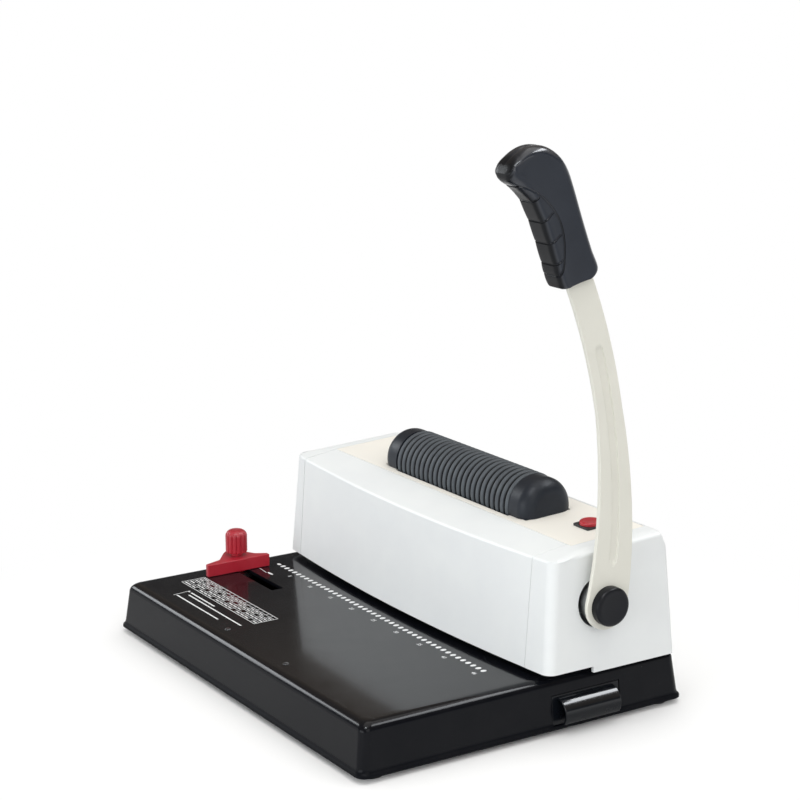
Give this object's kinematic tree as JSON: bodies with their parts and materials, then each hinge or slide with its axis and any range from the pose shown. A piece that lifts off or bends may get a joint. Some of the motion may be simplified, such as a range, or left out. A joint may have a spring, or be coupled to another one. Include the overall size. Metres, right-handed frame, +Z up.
{
  "type": "electric coil binding machine",
  "caption": "Desk machine for coil binding: a long side lever punches a row of round holes in sheets slid under the housing, and a ribbed power roller on top spins the coil in.",
  "frame": {"origin": "middle of the overall bounding box in X and Y, at the level the rubber feet stand on", "axes": "+X to the machine's right, where the lever is; -Y to the front, where the sheets go in; +Z up"},
  "size_m": [0.3849, 0.277, 0.4169],
  "materials": {
    "black_enamel": "gloss black enamel",
    "white_cover": "satin white",
    "cream_enamel": "satin cream",
    "dark_grip": "moulded, slightly textured",
    "black_plastic": "moulded black",
    "red_plastic": "moulded red",
    "button_red": "moulded red",
    "roller_rubber": "matt ribbed rubber",
    "slate_plastic": "moulded slate grey",
    "foot_rubber": "matt",
    "frame_steel": "cut and ground plate",
    "bright_steel": "turned",
    "spring_steel": "drawn wire",
    "dark_screw": "blackened",
    "bronze": "sintered",
    "sheet_steel": "zinc plated",
    "plate_black": "matt black",
    "pulley_plastic": "moulded",
    "core_tube": "turned",
    "motor_case": "grey",
    "supply": "potted",
    "board": "lacquered board"
  },
  "bodies": {
    "machine": {"base_cover": "black_enamel", "base_plate": "plate_black", "rubber_feet": "foot_rubber", "foot_screws": "bright_steel", "deck_support": "black_enamel", "deck_rivets": "bright_steel", "side_frame_left": "frame_steel", "side_frame_right": "frame_steel", "die_plate": "frame_steel", "punch_guide": "frame_steel", "depth_stop": "frame_steel", "front_tie_bar": "frame_steel", "rear_tie_bar": "frame_steel", "frame_screws": "dark_screw", "guide_rods": "bright_steel", "return_springs": "spring_steel", "shaft_bushings": "bronze", "front_cover": "white_cover", "left_end_cover": "white_cover", "right_end_cover": "white_cover", "top_panel": "white_cover", "rear_cover": "white_cover", "rear_cover_screws": "dark_screw", "roller_hood_left": "slate_plastic", "roller_hood_right": "slate_plastic", "roller_bushings": "bronze", "roller_cradle": "sheet_steel", "drive_belt": "foot_rubber", "gear_motor": "motor_case", "motor_bracket": "sheet_steel", "power_supply": "supply", "control_board": "board", "power_inlet": "black_plastic", "button_bezel": "black_plastic", "button_spring": "spring_steel"},
    "lever": {"lever_arm": "cream_enamel", "cam_shaft": "bright_steel", "eccentrics": "frame_steel", "shaft_clip": "spring_steel", "lever_hub": "bright_steel", "lever_bolt": "bright_steel", "pivot_cap": "black_plastic", "lever_grip": "dark_grip", "grip_screws": "dark_screw"},
    "punch": {"punch_bar": "frame_steel", "pin_retainer": "frame_steel", "punch_pins": "bright_steel", "cam_yokes": "frame_steel", "yoke_screws": "dark_screw"},
    "roller": {"roller_sleeve": "roller_rubber", "roller_core": "core_tube", "roller_shaft": "bright_steel", "roller_pulley": "pulley_plastic"},
    "motor_rotor": {"motor_pulley": "pulley_plastic"},
    "start_button": {"button_cap": "button_red"},
    "tray": {"chip_tray": "black_plastic", "tray_pull": "black_plastic"},
    "guide": {"edge_guide": "red_plastic", "guide_clamp_nut": "bright_steel"},
    "knob": {"guide_knob": "red_plastic"}
  },
  "joints": [
    {"name": "lever_turn", "type": "hinge", "parent": "machine", "child": "lever", "pos_m": [0.18, 0.0597, 0.0916], "axis": [1, 0, 0], "range_deg": [0, 75], "stiffness_Nm_per_rad": 1.2, "springref_deg": -34.38},
    {"name": "punch_slide", "type": "slide", "parent": "machine", "child": "punch", "axis": [0, 0, -1], "range_m": [0, 0.01], "deforming": ["return_springs"]},
    {"name": "roller_spin", "type": "hinge", "parent": "machine", "child": "roller", "pos_m": [-0.00375, 0.0769, 0.13549], "axis": [1, 0, 0], "continuous": true},
    {"name": "motor_spin", "type": "hinge", "parent": "machine", "child": "motor_rotor", "pos_m": [-0.094, 0.089, 0.0756], "axis": [1, 0, 0], "continuous": true},
    {"name": "button_press", "type": "slide", "parent": "machine", "child": "start_button", "axis": [0, 0.0523, -0.9986], "range_m": [0, 0.0022], "stiffness_N_per_m": 500, "springref_m": -0.002, "deforming": ["button_spring"]},
    {"name": "tray_slide", "type": "slide", "parent": "machine", "child": "tray", "axis": [1, 0, 0], "range_m": [0, 0.3]},
    {"name": "guide_slide", "type": "slide", "parent": "machine", "child": "guide", "axis": [1, 0, 0], "range_m": [0, 0.06]},
    {"name": "knob_turn", "type": "hinge", "parent": "guide", "child": "knob", "pos_m": [-0.1735, -0.0411, 0.06], "axis": [0, 0, 1], "continuous": true}
  ],
  "couplings": [
    {"joint": "punch_slide", "follows": "lever_turn", "m_per_rad": 0.007639},
    {"joint": "motor_spin", "follows": "roller_spin", "ratio": 1.69}
  ]
}
